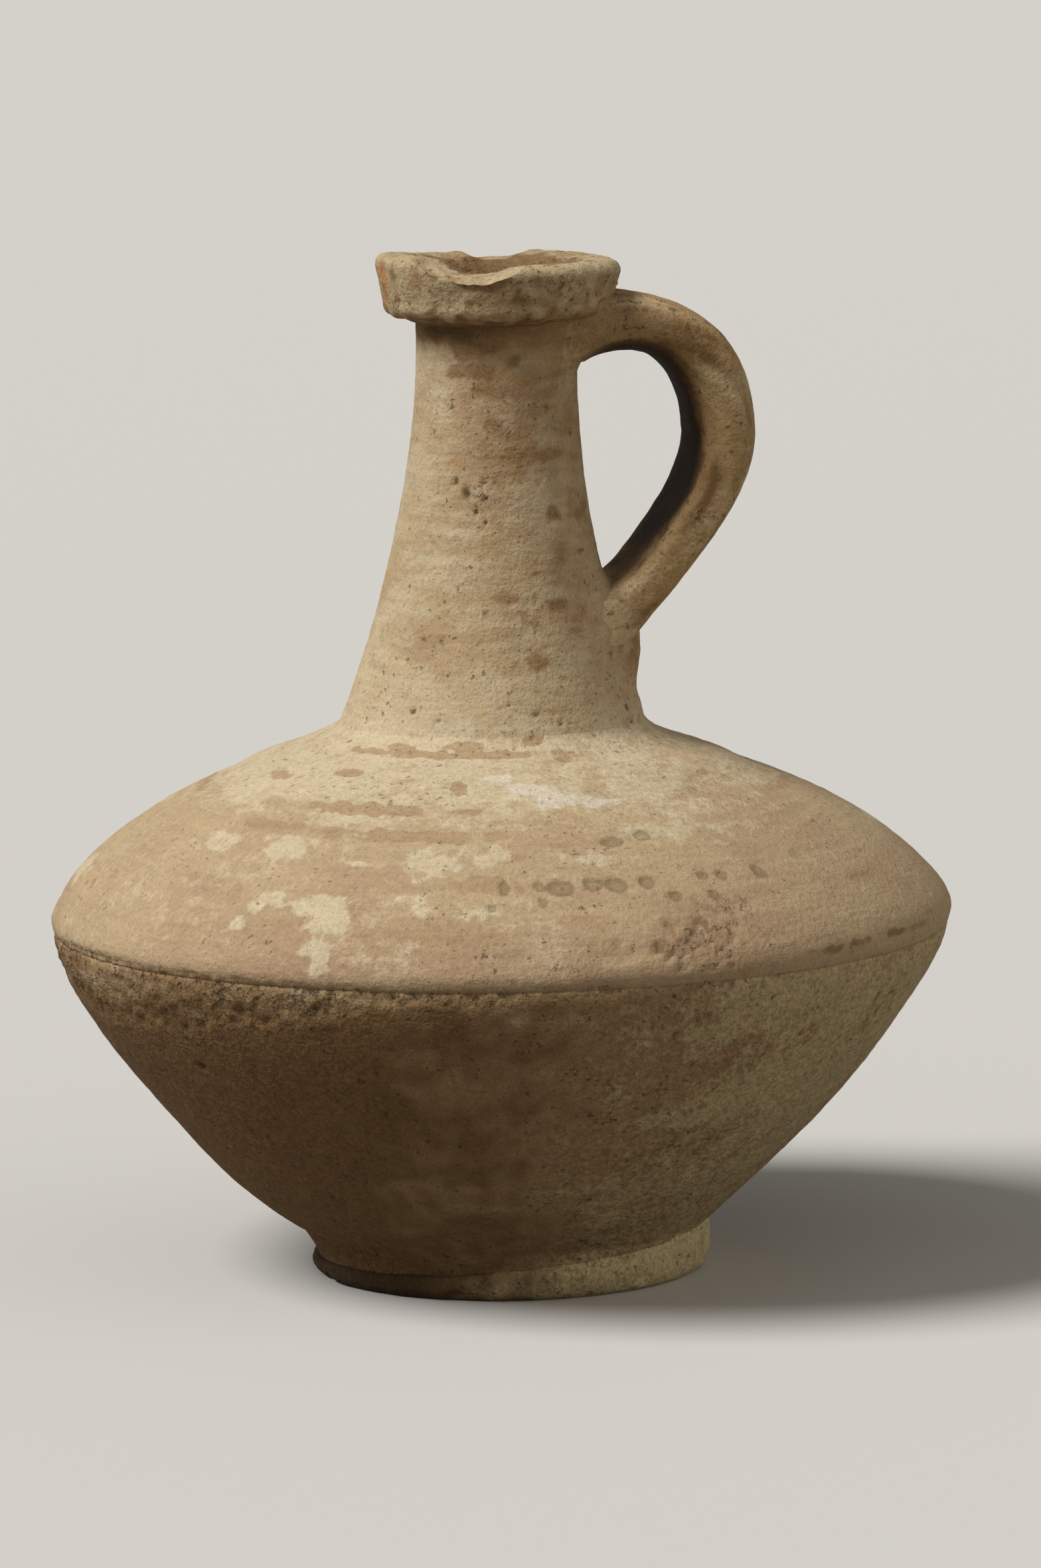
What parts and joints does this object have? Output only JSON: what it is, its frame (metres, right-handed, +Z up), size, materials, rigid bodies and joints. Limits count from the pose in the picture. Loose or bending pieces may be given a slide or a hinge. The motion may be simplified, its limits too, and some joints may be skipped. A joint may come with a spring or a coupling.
{
  "type": "lagynos",
  "caption": "Unglazed clay jug with a wide sharp-edged body, tall tapering neck, thick collar rim, strap handle and low ring foot, for pouring wine or oil.",
  "frame": {"origin": "centre of the circle that the foot ring stands on", "axes": "+Z up along the neck, +X towards the handle"},
  "size_m": [0.178, 0.178, 0.2005],
  "materials": {
    "slipped_clay": "matt buff clay with a worn cream slip",
    "bare_clay": "matt gritty buff clay",
    "foot_clay": "matt worn buff clay",
    "rim_clay": "matt chipped buff clay with orange patches",
    "handle_clay": "matt hand-smoothed buff clay"
  },
  "bodies": {
    "root": {"foot_ring": "foot_clay", "lower_bowl": "bare_clay", "shoulder": "slipped_clay", "neck_luting_coil": "slipped_clay", "neck": "slipped_clay", "rim_collar": "rim_clay", "strap_handle": "handle_clay", "upper_luting_patch": "handle_clay", "lower_luting_patch": "handle_clay"}
  },
  "joints": []
}
